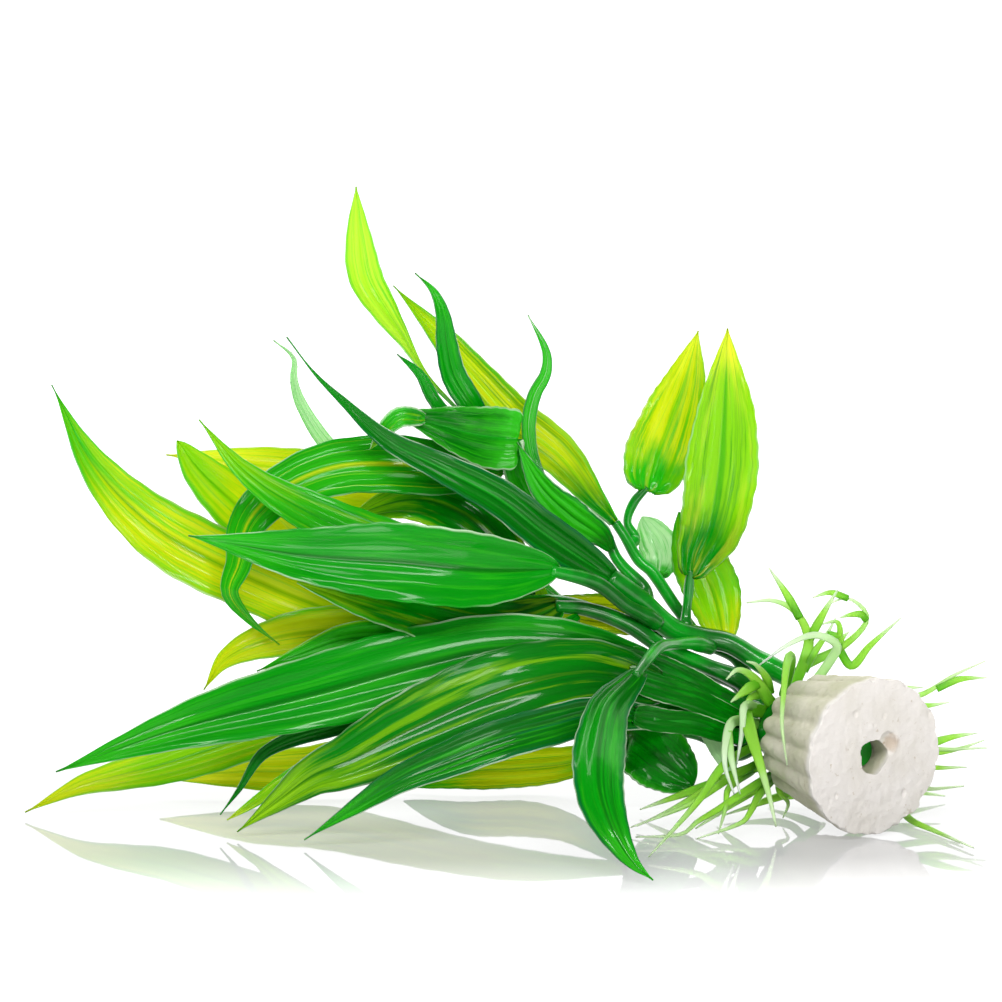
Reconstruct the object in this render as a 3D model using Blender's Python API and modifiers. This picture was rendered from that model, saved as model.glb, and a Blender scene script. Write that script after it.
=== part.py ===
"""Artificial aquarium plant on a cast stone base, lying on its side.

A short fluted cone of cast stone weighs the plant down. A green plug sits in its
bore, and its dome carries the stems. Each leaf starts just off the end of a stem.
Sprigs of light green grass ring the dome. The surface it lies on is z = 0, and the
plant points along -X. Tables are in millimetres, and the scene is in metres.
"""
from math import cos, pi, sin

import bmesh
import bpy
from mathutils import Vector

MM = 0.001
PLACE = Vector((0.55, -6.5, 0.0))    # moves the plant so that its origin is the middle of its footprint

STONE_LENGTH = 26.0
STONE_FOOT_RADIUS = 18.25            # at the flat underside
STONE_NECK_RADIUS = 14.0             # at the small end
STONE_FOOT = Vector((80.0, 0.0, STONE_FOOT_RADIUS))
STONE_AXIS = Vector((-0.54, 0.84, 0.0)).normalized()     # from the underside to the small end
FLUTES = 16
FLUTE_DEPTH = 1.3                    # at the small end, fading out towards the underside
BORE_RADIUS = 4.0
PEG_LENGTH = 20.5                    # of the plug inside the bore
PEG_RADIUS = 3.6
DOME_RADIUS = 9.0
DOME_LENGTH = 13.0
GAP = 0.3

LEAF_THICKNESS = 0.9
LEAF_ROWS = 10
LEAF_END = 0.09                      # width of a leaf's two ends, as a share of its widest
GRASS_THICKNESS = 0.9
GRASS_ROWS = 6

GREEN = (0.00, 0.33, 0.02)
DEEP_GREEN = (0.00, 0.17, 0.02)
YELLOW = (0.62, 0.72, 0.04)
LIGHT_GREEN = (0.18, 0.62, 0.06)
PALE = (0.62, 0.80, 0.60)
GRASS_GREEN = (0.33, 0.72, 0.09)
STONE_WHITE = (0.80, 0.77, 0.70)

# name, colour, width, widest at (share of the length), fold, face, face at the tip, route from stalk to tip
LEAVES = (
    ("leaf_far_left", YELLOW, 17, 0.45, 0.15, (0.2, -0.9, 0.4), (0.3, -1, 0.1),
     ((-17, 29, 41), (-37, 28, 43.5), (-62, 26, 53.5), (-79, 25, 64), (-91, 23, 78), (-101, 21, 97))),
    ("leaf_front", GREEN, 18, 0.33, 0.15, (0, -1, 0.15), (0, -1, 0.3),
     ((9, 15, 57), (-7, 8, 58.5), (-24, 4, 61), (-46, 0, 63.5), (-70, -4, 68))),
    ("leaf_light_middle", LIGHT_GREEN, 12, 0.45, 0.1, (0.1, -0.8, 0.5), (0.1, -0.8, 0.5),
     ((8, 20, 56), (-12, 15, 59), (-29, 12, 64), (-48, 10, 73), (-59, 9, 81), (-68, 8, 92))),
    ("leaf_blunt_yellow", YELLOW, 13, 0.55, 0.1, (0.1, -1, 0.2), (0.1, -1, 0.2),
     ((-12.5, 34.5, 44.7), (-30, 35, 50), (-46, 35, 55), (-61, 34, 68), (-69, 33, 76), (-73, 32, 83))),
    ("leaf_back_yellow", YELLOW, 12, 0.55, 0.1, (0, -0.9, 0.3), (0, -0.9, 0.3),
     ((7, 38.3, 47.5), (-4, 43, 61), (-24, 44, 69), (-48, 43, 74), (-67, 42, 77), (-77, 42, 78))),
    ("leaf_arching", GREEN, 10, 0.32, -0.1, (0, -0.8, 0.6), (-0.3, -0.9, 0),
     ((-2, 33, 75.5), (-13, 26.5, 78), (-25, 24, 80), (-39, 22, 79.5), (-52, 20, 75), (-59, 18, 67.5),
      (-60, 17, 58), (-62, 16, 52), (-58, 16, 46), (-51, 16, 40))),
    ("leaf_dark_back", DEEP_GREEN, 11, 0.50, 0.1, (0, -0.8, 0.5), (0, -0.8, 0.5),
     ((4, 32, 49), (-3, 30, 60), (-11, 30, 67), (-22, 30, 70), (-36, 30, 66))),
    ("leaf_low_yellow_back", YELLOW, 10, 0.50, 0.1, (0, -0.9, 0.4), (0, -0.9, 0.3),
     ((-9.5, 27.5, 41.3), (-16, 22, 41.5), (-24, 20.5, 42.5), (-39, 20, 42.5),
      (-53, 20, 40.5), (-63, 20, 36), (-68, 20, 29))),
    ("leaf_low_light", LIGHT_GREEN, 9, 0.50, 0.1, (0, -0.9, 0.4), (0, -0.9, 0.4),
     ((14, 23, 42.7), (7, 19, 40.8), (-10, 16, 40.5), (-34, 14, 42), (-46, 14, 38.5), (-56, 14, 34.5))),
    ("leaf_lower_left", GREEN, 17, 0.45, 0.15, (0, -0.85, 0.5), (0, -0.95, 0.3),
     ((30, 21.5, 34.5), (15, 13, 39), (-3, 10, 40), (-20, 8, 37), (-40, 6, 32),
      (-68, 5, 25), (-81, 4, 21), (-100, 4, 14))),
    ("leaf_under_front", GREEN, 12, 0.45, 0.1, (0, -0.8, 0.5), (0, -0.8, 0.5),
     ((10, 24, 47), (-2, 18, 46), (-21, 15, 49), (-35, 14, 52), (-44, 14, 53))),
    ("leaf_floor_left", YELLOW, 10, 0.50, 0.1, (0, -0.9, 0.4), (0, -0.9, 0.4),
     ((-13, 28.3, 38.8), (-30, 26, 29), (-45, 25, 22), (-75, 23, 12),
      (-88, 21, 9), (-96, 20, 7), (-108, 19, 1.3))),
    ("leaf_floor_yellow", YELLOW, 10, 0.65, 0.05, (0, -0.9, 0.2), (0, -0.9, 0.2),
     ((26.3, 38, 17.8), (4, 44, 17), (-18, 43, 13), (-43, 39, 6.6), (-60, 38, 6), (-79, 38, 4.5))),
    ("leaf_floor_middle", YELLOW, 8.4, 0.60, 0.05, (0, -0.9, 0.2), (0, -0.9, 0.2),
     ((26, 36, 14), (14, 41, 7.5), (3, 43, 5.6), (-11, 42, 4.6), (-24, 43, 1.4))),
    ("leaf_low_front", DEEP_GREEN, 17, 0.45, 0.15, (0, -0.9, 0.45), (0, -0.9, 0.3),
     ((32, 17, 30.5), (17, 8, 35.5), (-2, 0, 33), (-22, -4, 25), (-35, -5, 18.5),
      (-43, -4, 15), (-50, -2, 9.5), (-60, 0, 1.2))),
    ("leaf_narrow_front", DEEP_GREEN, 8.5, 0.45, 0.25, (0, -1, 0.2), (0, -1, 0.2),
     ((32, 12.5, 24), (19, 3.5, 27), (9, -3, 26), (-2, -8, 24),
      (-13, -11, 20.5), (-24, -12, 16), (-35, -11, 8.8), (-45, -8, 1.4))),
    ("leaf_dark_spike", DEEP_GREEN, 4.5, 0.65, 0.1, (0, -1, 0.3), (0, -1, 0.2),
     ((31, 19.5, 27), (11, 12, 29.5), (-15, 9, 28), (-40, 7.5, 23),
      (-54, 8, 17.5), (-60, 7, 9), (-64, 6, 3.8))),
    ("leaf_drooping_front", GREEN, 9, 0.45, -0.15, (0.1, -0.6, 0.8), (-0.2, -0.9, 0.3),
     ((28, 3, 36), (22, -6, 32), (20, -14, 28), (19, -24, 23), (19.4, -32, 17), (22, -38, 10.8),
      (26, -42, 5), (30.5, -44, 1.2))),
    ("leaf_short_broad", DEEP_GREEN, 14, 0.45, 0.1, (0.1, -1, 0.1), (0.1, -1, 0.1),
     ((27.5, 28, 16.2), (31, 25, 13.5), (37, 24.5, 9.5), (41, 24.5, 6.2))),
    ("leaf_upright_left", YELLOW, 17, 0.30, 0.1, (0.1, -1, 0.1), (0.1, -1, 0.1),
     ((31.2, 51, 68.7), (32.3, 52, 73), (35.2, 52, 82), (38.8, 52, 91), (42.3, 52, 104.5))),
    ("leaf_upright_right", LIGHT_GREEN, 15.4, 0.42, 0.15, (0.1, -1, 0.1), (0.1, -1, 0.1),
     ((40.4, 38, 52), (42.4, 39, 57), (44.8, 40, 62), (47, 40, 74), (47.8, 40, 85), (48.2, 40, 96),
      (48.5, 40, 107))),
    ("leaf_behind_uprights", YELLOW, 13, 0.50, 0.1, (0, -1, 0.2), (0, -1, 0.2),
     ((48.5, 45, 36), (46, 46, 45), (42, 47, 54), (38, 47, 64))),
    ("leaf_pale_small", PALE, 8, 0.50, 0.1, (0, -1, 0.2), (0, -1, 0.2),
     ((33.7, 48.8, 50), (34, 53, 54), (30, 57, 61))),
    ("leaf_long_yellow", YELLOW, 10, 0.50, 0.15, (0.2, -1, 0.2), (0.2, -1, 0.2),
     ((23.5, 48, 61.5), (19, 48, 67), (11, 47, 77), (0, 46, 86),
      (-8, 46, 95), (-16, 45, 105), (-26, 44, 116))),
    ("leaf_top", LIGHT_GREEN, 7, 0.68, 0.1, (0.75, 0.2, 0.6), (-0.1, -1, 0),
     ((-7.5, 34, 86), (-12, 34, 90), (-18.7, 34, 97), (-24, 34, 106), (-28, 34, 112), (-32, 34, 119),
      (-33.5, 33, 129), (-34, 32, 140))),
    ("leaf_top_thin", DEEP_GREEN, 3, 0.45, 0.1, (0.2, -1, 0), (0.2, -1, 0),
     ((-8.5, 31, 85.5), (-13.5, 29, 89), (-17, 29, 93), (-20, 29, 98.5), (-25, 29, 103))),
    ("leaf_top_hooked", GREEN, 6, 0.40, 0.15, (0.3, -1, 0), (0.3, -1, 0),
     ((-4, 31, 85), (-8, 30, 90.5), (-12.5, 30, 98), (-14, 30, 104.5), (-15, 30, 112), (-17, 30, 117),
      (-21, 30, 121))),
    ("leaf_folded_curl", GREEN, 13, 0.25, 0.1, (0, -1, 0.1), (0, -1, 0.1),
     ((5.5, 30, 77.5), (1, 28, 83), (-8, 24.5, 85), (-17, 22, 88), (-23, 20.5, 90), (-27, 19.5, 89),
      (-30, 19, 85))),
    ("leaf_long_dark", DEEP_GREEN, 9.5, 0.30, 0.2, (-0.3, -0.8, 0.5), (-0.3, -0.8, 0.5),
     ((21.5, 28, 53), (8, 23, 63.5), (-2, 20, 72), (-14, 17, 79), (-27, 16, 86), (-37, 16, 95),
      (-43, 16, 101), (-49, 16, 109))),
    ("leaf_wavy", GREEN, 3.2, 0.45, 0.1, (0, -1, 0), (0, -1, 0),
     ((7.8, 39, 73.4), (5, 40, 78.5), (4.2, 40, 85.5), (5.5, 40, 92),
      (8, 40, 97), (8, 40, 102), (4, 40, 110))),
    ("leaf_pale_twisted", PALE, 6, 0.66, 0.1, (0, -1, 0.1), (0.5, -0.8, 0),
     ((12, 39, 46.5), (0, 49.5, 52), (-18, 53, 62), (-34, 52, 71), (-42, 50, 80), (-47, 49, 88.5),
      (-48.5, 48, 94), (-48.5, 48, 99), (-53, 48, 103))),
    ("leaf_beside_folded", GREEN, 5.5, 0.45, 0.2, (-0.3, -0.9, 0.2), (-0.3, -0.9, 0.2),
     ((22.5, 34.8, 59), (19.5, 32, 62), (13.6, 28, 67), (7, 25.5, 74), (1.5, 24.5, 84))),
)

# name, radius at the start, radius at the end, route from the dome or the fork outwards
STEMS = (
    ("stem_main", 2.2, 1.9, ((58, 34, 28.5), (55, 36, 32.5), (49, 37, 36), (42.5, 36, 37.5), (36, 34, 40),
                             (29, 31, 47), (23, 29, 52))),
    ("stem_upper", 1.5, 1.2, ((30.5, 27.3, 44), (26, 24.5, 47), (19, 21, 53), (10.5, 16, 57.6))),
    ("stem_middle", 1.5, 1.2, ((51.5, 32, 28.5), (44, 31, 32), (34, 28, 37), (26, 27, 42.5), (17, 26, 46),
                               (11.5, 25, 47))),
    ("stem_left_upper", 1.5, 1.2, ((50.4, 29.5, 24), (41, 26.5, 29), (31.2, 22.2, 34))),
    ("stem_left_middle", 1.5, 1.2, ((50.2, 27.5, 20.6), (42, 23, 25.8), (33.2, 17.7, 30))),
    ("stem_left_lower", 1.5, 1.2, ((50.2, 26, 17), (42, 19.5, 21.4), (33.3, 13.4, 23.6))),
    ("stem_bottom", 1.4, 1.1, ((50.5, 27, 13), (42, 28, 17), (34, 30.5, 17.5), (28, 35, 15.2))),
    ("stem_back", 1.3, 1.1, ((55, 41, 24), (51, 43, 31), (44, 42.5, 35), (38, 44, 42), (32, 46, 50.5),
                             (29, 47, 53), (25.7, 48, 58.5), (24.2, 48, 60.5))),
    ("stem_top", 1.4, 0.9, ((30, 38, 48), (24, 38, 55), (21, 38, 61.5), (14.5, 37, 67.5), (8, 36, 71.5),
                            (2, 35, 77), (-6, 34, 84.5))),
    ("stem_hidden", 1.4, 1.1, ((50.5, 36.5, 27), (40, 39.5, 31), (25, 37, 41), (10, 35, 46), (-6, 32, 44.5),
                               (-14, 30.5, 42.5))),
    ("stalk_upright_left", 0.9, 0.9, ((28.2, 51, 57), (26.5, 51, 61), (28, 51, 65.5), (30.5, 51, 68))),
    ("stalk_upright_right", 1.0, 0.9, ((39.5, 37, 42.2), (40, 38, 47), (40.3, 38, 51.3))),
    ("stalk_drooping", 1.3, 1.0, ((37, 24, 38.5), (33, 16, 39.5), (30, 8, 38), (28.3, 4, 36.5))),
)

# name, then blades of (width, route); the first blade carries the others
GRASS = (
    ("grass_top_fork",
     (2.0, ((63, 31, 28), (66, 36, 32), (67, 38, 37), (64, 38, 43), (59, 38, 45.5), (53, 38, 45))),
     (1.6, ((64.5, 38, 42), (62, 38, 47), (58, 38, 53))),
     (1.7, ((66.9, 38, 36), (70, 38, 42), (73.5, 38, 48)))),
    ("grass_top_curl",
     (1.8, ((62.5, 35, 24.5), (65, 40, 29), (75, 43, 34), (80, 43, 39), (80, 43, 42), (76, 43, 45),
            (71, 43, 43.5))),
     (1.6, ((74, 43, 33.6), (77, 43, 29.5), (81, 43, 34), (88, 43, 40.5)))),
    ("grass_top_arch",
     (1.8, ((67, 30, 28.3), (71, 30.5, 32.5), (73, 30, 37), (68, 29, 39.5), (62, 28, 37.5),
            (55.5, 27, 33)))),
    ("grass_left_fork",
     (2.2, ((57.5, 23.5, 26), (54, 21.5, 31.5), (50.5, 20, 33.5), (48, 19, 31.5))),
     (2.0, ((55, 22, 30), (52.5, 20, 29), (49, 18.5, 26.5)))),
    ("grass_hanging_long",
     (2.6, ((55, 23, 24.5), (52.5, 19, 24.5), (53, 14, 21.5), (54.5, 8, 17), (57, 2, 9), (58.5, 0, 2.5)))),
    ("grass_hanging_short",
     (1.6, ((61, 27, 28.4), (62.5, 23, 34), (62, 17, 37.5), (61, 11, 36.5), (60, 3, 31.5), (59.5, -3, 26),
            (60.5, -7, 18)))),
    ("grass_pale",
     (1.9, ((53.8, 23.5, 21), (50, 19.5, 22), (48, 14, 20), (47.5, 10, 14), (49.5, 8, 8)))),
    ("grass_low_left",
     (2.0, ((56.5, 26, 9.4), (48, 19, 9), (41, 14, 6), (35, 10, 3.6), (28, 7, 1))),
     (1.7, ((47, 18, 8.8), (38, 20, 5), (29, 22, 1.2)))),
    ("grass_low_middle",
     (2.0, ((61, 26, 8.2), (54, 16, 7), (47, 9, 4), (41, 4, 1.2))),
     (1.6, ((53, 15, 6.7), (49, 16, 4), (46, 15, 1.2)))),
    ("grass_low_right",
     (1.8, ((63.5, 31, 8.3), (68, 33, 6.5), (70, 28, 3.6), (69, 18, 1.4))),
     (1.6, ((70, 29, 4.2), (65, 30, 2.8), (58, 32, 1)))),
    ("grass_right_high",
     (1.7, ((69, 31.5, 25), (76, 36, 24.5), (84, 38, 23.5), (92, 39, 23.5), (100, 40, 28), (107, 41, 31)))),
    ("grass_right_middle",
     (1.8, ((71.5, 32, 19), (78, 36, 16), (86, 35, 13.5), (95, 33, 12.5), (107, 32, 13))),
     (1.5, ((92, 33.3, 12.8), (99, 34, 15), (105, 34, 16)))),
    ("grass_right_low",
     (1.7, ((69.5, 31.5, 12.5), (77, 35, 8), (84, 33, 5.5), (92, 26, 5), (101, 20, 7))),
     (1.5, ((79, 34.6, 7), (88, 34.5, 3), (98, 36, 1)))),
)


def collection(name):
    """A new collection in the scene."""
    made = bpy.data.collections.new(name)
    bpy.context.scene.collection.children.link(made)
    return made


def move_to(ob, group):
    """Puts an object in one collection only."""
    for old in list(ob.users_collection):
        old.objects.unlink(ob)
    group.objects.link(ob)


def material(name, colour, roughness):
    """A Principled material of one colour."""
    mat = bpy.data.materials.get(name)
    if mat is None:
        mat = bpy.data.materials.new(name)
        mat.use_nodes = True
        shader = mat.node_tree.nodes["Principled BSDF"]
        shader.inputs["Base Color"].default_value = (*colour, 1.0)
        shader.inputs["Roughness"].default_value = roughness
        shader.inputs["Metallic"].default_value = 0.0
    return mat


def placed(point):
    """A table's point in millimetres as a place in the scene."""
    return (Vector(point) + PLACE) * MM


def along(route, share):
    """Point and direction at a share of a smooth curve through the route's points."""
    points = [Vector(p) for p in route]
    reach = [0.0]
    for a, b in zip(points, points[1:]):
        reach.append(reach[-1] + (b - a).length)
    slopes = []
    for i in range(len(points)):
        low = max(i - 1, 0)
        high = min(i + 1, len(points) - 1)
        slopes.append((points[high] - points[low]) / (reach[high] - reach[low]))
    at = share * reach[-1]
    i = 0
    while i < len(points) - 2 and at > reach[i + 1]:
        i += 1
    span = reach[i + 1] - reach[i]
    t = (at - reach[i]) / span
    place = (
        points[i] * (2 * t**3 - 3 * t**2 + 1)
        + slopes[i] * span * (t**3 - 2 * t**2 + t)
        + points[i + 1] * (3 * t**2 - 2 * t**3)
        + slopes[i + 1] * span * (t**3 - t**2)
    )
    heading = (
        (points[i + 1] - points[i]) * (6 * t - 6 * t**2)
        + slopes[i] * span * (3 * t**2 - 4 * t + 1)
        + slopes[i + 1] * span * (3 * t**2 - 2 * t)
    )
    return place, heading.normalized()


def leaf_spread(share, widest):
    """Half width of a leaf blade at a share of its length, as a share of its widest half."""
    lead = widest * 1.8
    trail = (1.0 - widest) * 2.3
    swell = (share / widest) ** lead * ((1.0 - share) / (1.0 - widest)) ** trail
    return max(swell, LEAF_END)


def grass_spread(share, widest):
    """Half width of a grass blade, even at first and tapering to its tip."""
    return max(1.0 - 0.72 * max(share - 0.3, 0.0) / 0.7, 0.28)


def blade(name, group, route, width, rows, columns, spread, widest=0.5, fold=0.0,
          face=(0, -1, 0.1), tip_face=(0, -1, 0.1), thickness=LEAF_THICKNESS):
    """A blade that follows a route: a flat grid laid along it, then made solid."""
    bpy.ops.mesh.primitive_grid_add(x_subdivisions=rows, y_subdivisions=columns, size=1.0)
    ob = bpy.context.object
    ob.name = name
    move_to(ob, group)
    for vertex in ob.data.vertices:
        share = min(max(vertex.co.x + 0.5, 0.0), 1.0)
        across = 2.0 * vertex.co.y
        place, heading = along(route, share)
        facing = Vector(face).lerp(Vector(tip_face), share)
        side = facing.cross(heading).normalized()
        up = heading.cross(side)
        half = 0.5 * width * spread(share, widest)
        vertex.co = placed(place + side * across * half + up * fold * abs(across) * half)
    solid = ob.modifiers.new("thickness", "SOLIDIFY")
    solid.thickness = thickness * MM
    solid.offset = 0.0
    return ob


def leaf(row, group):
    """One leaf: a pointed blade folded a little along its midrib."""
    name, colour, width, widest, fold, face, tip_face, route = row
    ob = blade(name, group, route, width, LEAF_ROWS, 2, leaf_spread, widest, fold, face, tip_face)
    ob.data.materials.append(material(f"{name}_plastic", colour, 0.3))


def stem(row, group):
    """One stem: a round tube that tapers along its route."""
    name, first, last, route = row
    curve = bpy.data.curves.new(name, "CURVE")
    curve.dimensions = "3D"
    curve.bevel_depth = MM
    curve.bevel_resolution = 2
    curve.use_fill_caps = True
    line = curve.splines.new("POLY")
    steps = 2 * len(route)
    line.points.add(steps)
    for i in range(steps + 1):
        share = i / steps
        line.points[i].co = (*placed(along(route, share)[0]), 1.0)
        line.points[i].radius = first + (last - first) * share
    ob = bpy.data.objects.new(name, curve)
    group.objects.link(ob)
    curve.materials.append(material("stem_plastic", DEEP_GREEN, 0.35))


def grass(row, group, cutters):
    """One sprig of grass: a blade with its forks joined on."""
    name, *blades = row
    width, route = blades[0]
    ob = blade(name, group, route, width, GRASS_ROWS, 1, grass_spread, thickness=GRASS_THICKNESS)
    ob.data.materials.append(material("grass_plastic", GRASS_GREEN, 0.4))
    for i, (width, route) in enumerate(blades[1:], 1):
        fork = blade(f"{name}_fork_{i}", cutters, route, width, GRASS_ROWS, 1, grass_spread,
                     thickness=GRASS_THICKNESS * 0.8)
        fork.display_type = "WIRE"
        fork.hide_render = True
        join = ob.modifiers.new(f"fork_{i}", "BOOLEAN")
        join.operation = "UNION"
        join.solver = "EXACT"
        join.object = fork


def stone_base(group, cutters):
    """The cast weight: a short cone, fluted round its small end, with a bore right through."""
    mesh = bpy.data.meshes.new("stone_base")
    shape = bmesh.new()
    bmesh.ops.create_cone(shape, cap_ends=True, segments=4 * FLUTES, radius1=STONE_FOOT_RADIUS * MM,
                          radius2=STONE_NECK_RADIUS * MM, depth=STONE_LENGTH * MM)
    for share in (0.25, 0.55, 0.85):
        everything = shape.verts[:] + shape.edges[:] + shape.faces[:]
        height = (share - 0.5) * STONE_LENGTH * MM
        bmesh.ops.bisect_plane(shape, geom=everything, plane_co=(0, 0, height), plane_no=(0, 0, 1))
    for vertex in shape.verts:
        up = vertex.co.z / (STONE_LENGTH * MM) + 0.5
        turn = Vector((1, 0)).angle_signed(vertex.co.xy)
        groove = (1.0 - abs(cos(0.5 * FLUTES * turn))) * up
        tuck = 1.0 if up > 0.99 else 0.0
        radius = vertex.co.xy.length / MM
        pull = (radius - FLUTE_DEPTH * groove - 0.8 * tuck) / radius
        vertex.co.xy = vertex.co.xy * pull
    shape.to_mesh(mesh)
    shape.free()
    ob = bpy.data.objects.new("stone_base", mesh)
    group.objects.link(ob)
    turned = STONE_AXIS.to_track_quat("Z", "Y")
    ob.rotation_mode = "QUATERNION"
    ob.rotation_quaternion = turned
    ob.location = placed(STONE_FOOT + STONE_AXIS * STONE_LENGTH * 0.5)
    mesh.materials.append(material("cast_stone", STONE_WHITE, 0.9))

    bpy.ops.mesh.primitive_cylinder_add(vertices=20, radius=BORE_RADIUS * MM, depth=2 * STONE_LENGTH * MM)
    bore = bpy.context.object
    bore.name = "bore_cutter"
    move_to(bore, cutters)
    bore.rotation_mode = "QUATERNION"
    bore.rotation_quaternion = turned
    bore.location = ob.location
    bore.display_type = "WIRE"
    bore.hide_render = True
    cut = ob.modifiers.new("bore", "BOOLEAN")
    cut.operation = "DIFFERENCE"
    cut.solver = "EXACT"
    cut.object = bore


def stem_hub(group):
    """The plug: a peg in the stone's bore and a dome against its small end, turned about its axis."""
    profile = [(0.0, DOME_LENGTH)]
    for i in range(1, 5):
        rise = 0.5 * pi * (1.0 - i / 4)
        profile.append((DOME_RADIUS * cos(rise), 4.0 + (DOME_LENGTH - 4.0) * sin(rise)))
    profile += [(DOME_RADIUS, GAP), (PEG_RADIUS, GAP), (PEG_RADIUS, -PEG_LENGTH), (0.0, -PEG_LENGTH)]
    mesh = bpy.data.meshes.new("stem_hub")
    points = [(r * MM, 0.0, z * MM) for r, z in profile]
    mesh.from_pydata(points, [(i, i + 1) for i in range(len(points) - 1)], [])
    ob = bpy.data.objects.new("stem_hub", mesh)
    group.objects.link(ob)
    ob.rotation_mode = "QUATERNION"
    ob.rotation_quaternion = STONE_AXIS.to_track_quat("Z", "Y")
    ob.location = placed(STONE_FOOT + STONE_AXIS * STONE_LENGTH)
    turned = ob.modifiers.new("turned", "SCREW")
    turned.steps = 20
    turned.render_steps = 20
    turned.use_merge_vertices = True
    turned.merge_threshold = 0.00001
    mesh.materials.append(material("stem_plastic", DEEP_GREEN, 0.35))


def build():
    """Clears the scene and models the plant."""
    for ob in list(bpy.data.objects):
        bpy.data.objects.remove(ob, do_unlink=True)
    plant = collection("aquarium_plant")
    cutters = collection("cutters")
    stone_base(plant, cutters)
    stem_hub(plant)
    for row in STEMS:
        stem(row, plant)
    for row in LEAVES:
        leaf(row, plant)
    for row in GRASS:
        grass(row, plant, cutters)


build()
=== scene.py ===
from math import cos, exp, pi, radians, sin

import bpy
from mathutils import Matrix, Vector


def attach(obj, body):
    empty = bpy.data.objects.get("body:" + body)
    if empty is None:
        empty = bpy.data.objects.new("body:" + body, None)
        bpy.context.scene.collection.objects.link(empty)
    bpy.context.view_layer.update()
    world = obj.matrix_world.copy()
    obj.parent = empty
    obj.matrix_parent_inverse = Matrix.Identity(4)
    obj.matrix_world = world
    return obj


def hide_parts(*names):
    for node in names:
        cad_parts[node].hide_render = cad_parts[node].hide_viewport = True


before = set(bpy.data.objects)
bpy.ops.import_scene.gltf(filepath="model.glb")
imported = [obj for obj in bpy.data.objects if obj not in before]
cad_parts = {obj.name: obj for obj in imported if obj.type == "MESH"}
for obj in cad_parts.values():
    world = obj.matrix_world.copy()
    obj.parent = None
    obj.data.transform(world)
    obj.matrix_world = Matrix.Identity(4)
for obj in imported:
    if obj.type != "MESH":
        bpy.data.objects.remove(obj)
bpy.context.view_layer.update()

# ---------------------------------------------------------------------------
# The stone: a squat weight cast in off-white gypsum stone, fluted where the
# mould narrows to the small end. Its underside was scraped flat, which left
# pits and a nibbled rim, and the bore through it broke out a chip at one side.
# ---------------------------------------------------------------------------
MM = 0.001
PLACE = Vector((0.55, -6.5, 0.0))
STONE_LENGTH = 26.0
STONE_FOOT_RADIUS = 18.2
STONE_NECK_RADIUS = 13.9
STONE_FOOT = Vector((80.0, 0.0, 18.25))
STONE_AXIS = Vector((-0.54, 0.84, 0.0)).normalized()
BORE_RADIUS = 3.7
FLUTES = 16
STONE_RINGS = 24
RIM_CHIPS = 38
RIM_RADIUS = 18.35
FACE_PITS = 9
GRIT = 0.00027


class Field:
    """A number or colour that varies over a surface, built up by plain arithmetic."""

    def __init__(self, tree, socket):
        self.tree = tree
        self.socket = socket

    def node(self, kind, settings, inputs, output=0):
        """Any shader node: its settings first, then the values or links of its sockets."""
        made = self.tree.nodes.new(kind)
        for key, value in settings.items():
            if key == "stops":
                ramp = made.color_ramp
                while len(ramp.elements) < len(value):
                    ramp.elements.new(0.5)
                for stop, (at, colour) in zip(ramp.elements, value):
                    stop.position = at
                    stop.color = colour
            else:
                setattr(made, key, value)
        for key, value in inputs.items():
            if isinstance(value, Field):
                self.tree.links.new(value.socket, made.inputs[key])
            else:
                made.inputs[key].default_value = value
        return Field(self.tree, made.outputs[output])

    def maths(self, operation, *values):
        return self.node("ShaderNodeMath", {"operation": operation}, dict(enumerate(values)))

    def __add__(self, other):
        return self.maths("ADD", self, other)

    def __radd__(self, other):
        return self.maths("ADD", other, self)

    def __sub__(self, other):
        return self.maths("SUBTRACT", self, other)

    def __rsub__(self, other):
        return self.maths("SUBTRACT", other, self)

    def __mul__(self, other):
        return self.maths("MULTIPLY", self, other)

    def __rmul__(self, other):
        return self.maths("MULTIPLY", other, self)

    def __abs__(self):
        return self.maths("ABSOLUTE", self)

    def ramp(self, low, high):
        """0 below low and 1 above high, with a soft change between."""
        return self.node("ShaderNodeMapRange", {"interpolation_type": "SMOOTHSTEP"},
                         {"Value": self, "From Min": low, "From Max": high})

    def blend(self, first, second):
        """The first colour where this is 0 and the second where it is 1."""
        return self.node("ShaderNodeMix", {"data_type": "RGBA"},
                         {0: self, 6: rgba(first), 7: rgba(second)}, output=2)

    def vector(self, x, y, z):
        return self.node("ShaderNodeCombineXYZ", {}, {0: x, 1: y, 2: z})

    def noise(self, at, scale, detail=2.0, roughness=0.5):
        return self.node("ShaderNodeTexNoise", {}, {"Vector": at, "Scale": scale, "Detail": detail,
                                                    "Roughness": roughness})


def rgba(colour):
    """A colour as a node takes it, whether it is three numbers or a field."""
    return colour if isinstance(colour, Field) else (*colour, 1.0)


def new_material(name):
    """An empty material: its shader node, its node tree as a field, and the material."""
    made = bpy.data.materials.new(name)
    made.use_nodes = True
    shader = made.node_tree.nodes["Principled BSDF"]
    return made, shader, Field(made.node_tree, None)


def feed(shader, name, value):
    """Gives one of a shader's sockets a plain value or a field."""
    if isinstance(value, Field):
        value.tree.links.new(value.socket, shader.inputs[name])
    else:
        shader.inputs[name].default_value = value


def bare_selection():
    """Leaves nothing selected and no edit mode."""
    if bpy.context.object and bpy.context.object.mode != "OBJECT":
        bpy.ops.object.mode_set(mode="OBJECT")
    bpy.ops.object.select_all(action="DESELECT")


def pick(ob):
    """Makes one object the only selected and active one."""
    bare_selection()
    ob.select_set(True)
    bpy.context.view_layer.objects.active = ob


def finish_with(ob, kind, **settings):
    """Adds a modifier and applies it."""
    pick(ob)
    made = ob.modifiers.new(kind.lower(), kind)
    for key, value in settings.items():
        setattr(made, key, value)
    bpy.ops.object.modifier_apply(modifier=made.name)


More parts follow.
